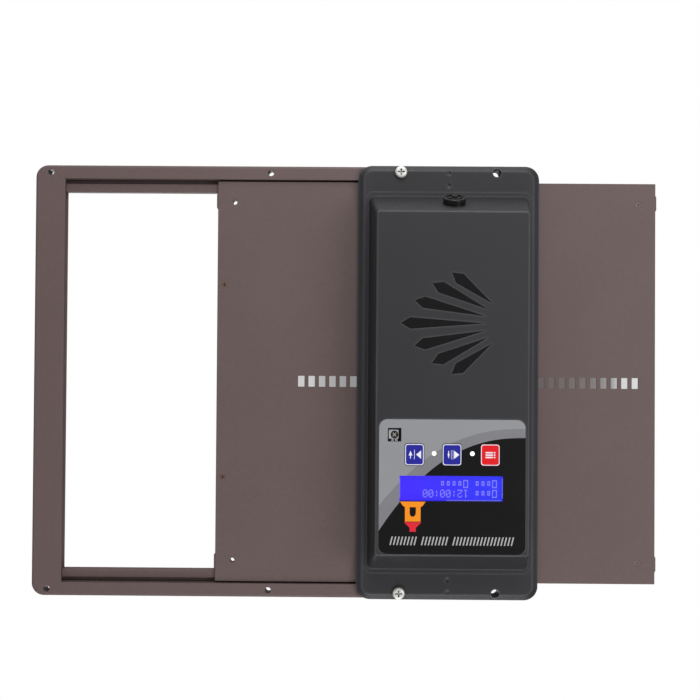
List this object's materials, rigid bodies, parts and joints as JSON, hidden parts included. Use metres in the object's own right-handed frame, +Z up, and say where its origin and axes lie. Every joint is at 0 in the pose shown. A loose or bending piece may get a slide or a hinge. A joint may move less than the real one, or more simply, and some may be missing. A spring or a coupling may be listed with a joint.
{
  "type": "automatic coop door",
  "caption": "Wall-mounted sliding coop door with a brown metal frame and panel, driven by a sprocket through punched slots from a black control box.",
  "frame": {"origin": "centre of the frame's four wall-screw holes, on the wall plane", "axes": "+Z up with the control panel upright, front face towards -Y, +X towards the doorway end of the frame"},
  "size_m": [0.4049, 0.0485, 0.28],
  "materials": {
    "bronze_paint": "powder coat, fine matt texture",
    "door_paint": "powder coat, fine matt texture",
    "brown_screw": "bronze-coloured screw finish",
    "shoe_plastic": "moulded acetal, brown",
    "zinc_steel": "zinc plated",
    "bright_screw": "bright nickel plate",
    "black_abs": "fine spark texture",
    "black_sheet": "matt black",
    "seal_rubber": "foam strip",
    "label_print": "printed polycarbonate film",
    "gloss_black": "polished",
    "clear_window": "clear",
    "screen_blue": "back-lit blue display",
    "black_metal": "black pressed steel",
    "green_board": "solder resist",
    "chip_black": "moulded",
    "key_blue": "printed key cap",
    "key_red": "printed key cap",
    "led_white": "diffusing",
    "sensor_black": "smoked window",
    "sensor_pale": "sensor disc",
    "bush_brass": "sintered bronze",
    "gear_plastic": "natural acetal",
    "gear_brass": "machined",
    "motor_steel": "rolled steel can",
    "terminal_plastic": "moulded",
    "cap_rubber": "semi-gloss"
  },
  "bodies": {
    "fixed_frame": {"front_frame": "bronze_paint", "guide_rail_top": "bronze_paint", "guide_rail_bottom": "bronze_paint", "end_plate": "bronze_paint", "frame_spacers": "zinc_steel", "rivet_nuts": "zinc_steel", "fixing_screws": "bright_screw", "cover_screws": "zinc_steel", "controller_housing": "black_abs", "rear_cover": "black_sheet", "housing_seal": "seal_rubber", "face_label": "label_print", "fan_inlays": "gloss_black", "screen_window": "clear_window", "screen_glass": "screen_blue", "screen_bezel": "black_metal", "screen_board": "green_board", "main_board": "green_board", "board_components": "chip_black", "screen_header": "chip_black", "board_screws": "zinc_steel", "bracket_screws": "zinc_steel", "key_switches": "chip_black", "status_lights": "led_white", "sensor_window": "sensor_black", "light_sensor": "sensor_pale", "motor_bracket": "zinc_steel", "shaft_bushes": "bush_brass", "gearbox_can": "motor_steel", "gearmotor_screws": "zinc_steel", "motor_can": "motor_steel", "motor_terminals": "terminal_plastic", "dc_inlet": "gloss_black", "dc_inlet_nut": "zinc_steel"},
    "door": {"door_panel": "door_paint", "leading_bar": "bronze_paint", "edge_screws": "brown_screw", "glide_shoes": "shoe_plastic"},
    "sprocket": {"drive_sprocket": "gear_plastic", "sprocket_gear": "gear_brass", "sprocket_shaft": "zinc_steel", "shaft_clip": "zinc_steel"},
    "pinion": {"drive_pinion": "gear_brass", "motor_output_shaft": "zinc_steel"},
    "open_key": {"key_open": "key_blue"},
    "close_key": {"key_close": "key_blue"},
    "menu_key": {"key_menu": "key_red"},
    "inlet_cap": {"dc_cap": "cap_rubber"}
  },
  "joints": [
    {"name": "door_slide", "type": "slide", "parent": "fixed_frame", "child": "door", "axis": [1, 0, 0], "range_m": [-0.091, 0.105]},
    {"name": "sprocket_spin", "type": "hinge", "parent": "fixed_frame", "child": "sprocket", "pos_m": [-0.19405, -0.01839, 0], "axis": [0, 0, 1], "range_deg": [-600, 520]},
    {"name": "pinion_spin", "type": "hinge", "parent": "fixed_frame", "child": "pinion", "pos_m": [-0.19405, -0.03119, 0], "axis": [0, 0, 1], "range_deg": [-840, 960]},
    {"name": "open_key_press", "type": "slide", "parent": "fixed_frame", "child": "open_key", "axis": [0, 1, 0], "range_m": [0, 0.0005], "stiffness_N_per_m": 600},
    {"name": "close_key_press", "type": "slide", "parent": "fixed_frame", "child": "close_key", "axis": [0, 1, 0], "range_m": [0, 0.0005], "stiffness_N_per_m": 600},
    {"name": "menu_key_press", "type": "slide", "parent": "fixed_frame", "child": "menu_key", "axis": [0, 1, 0], "range_m": [0, 0.0005], "stiffness_N_per_m": 600},
    {"name": "cap_pull", "type": "slide", "parent": "fixed_frame", "child": "inlet_cap", "axis": [0, -0.3964, -0.9181], "range_m": [0, 0.012]}
  ],
  "couplings": [
    {"joint": "sprocket_spin", "follows": "door_slide", "rad_per_m": -92.672},
    {"joint": "pinion_spin", "follows": "door_slide", "rad_per_m": 154.45}
  ]
}
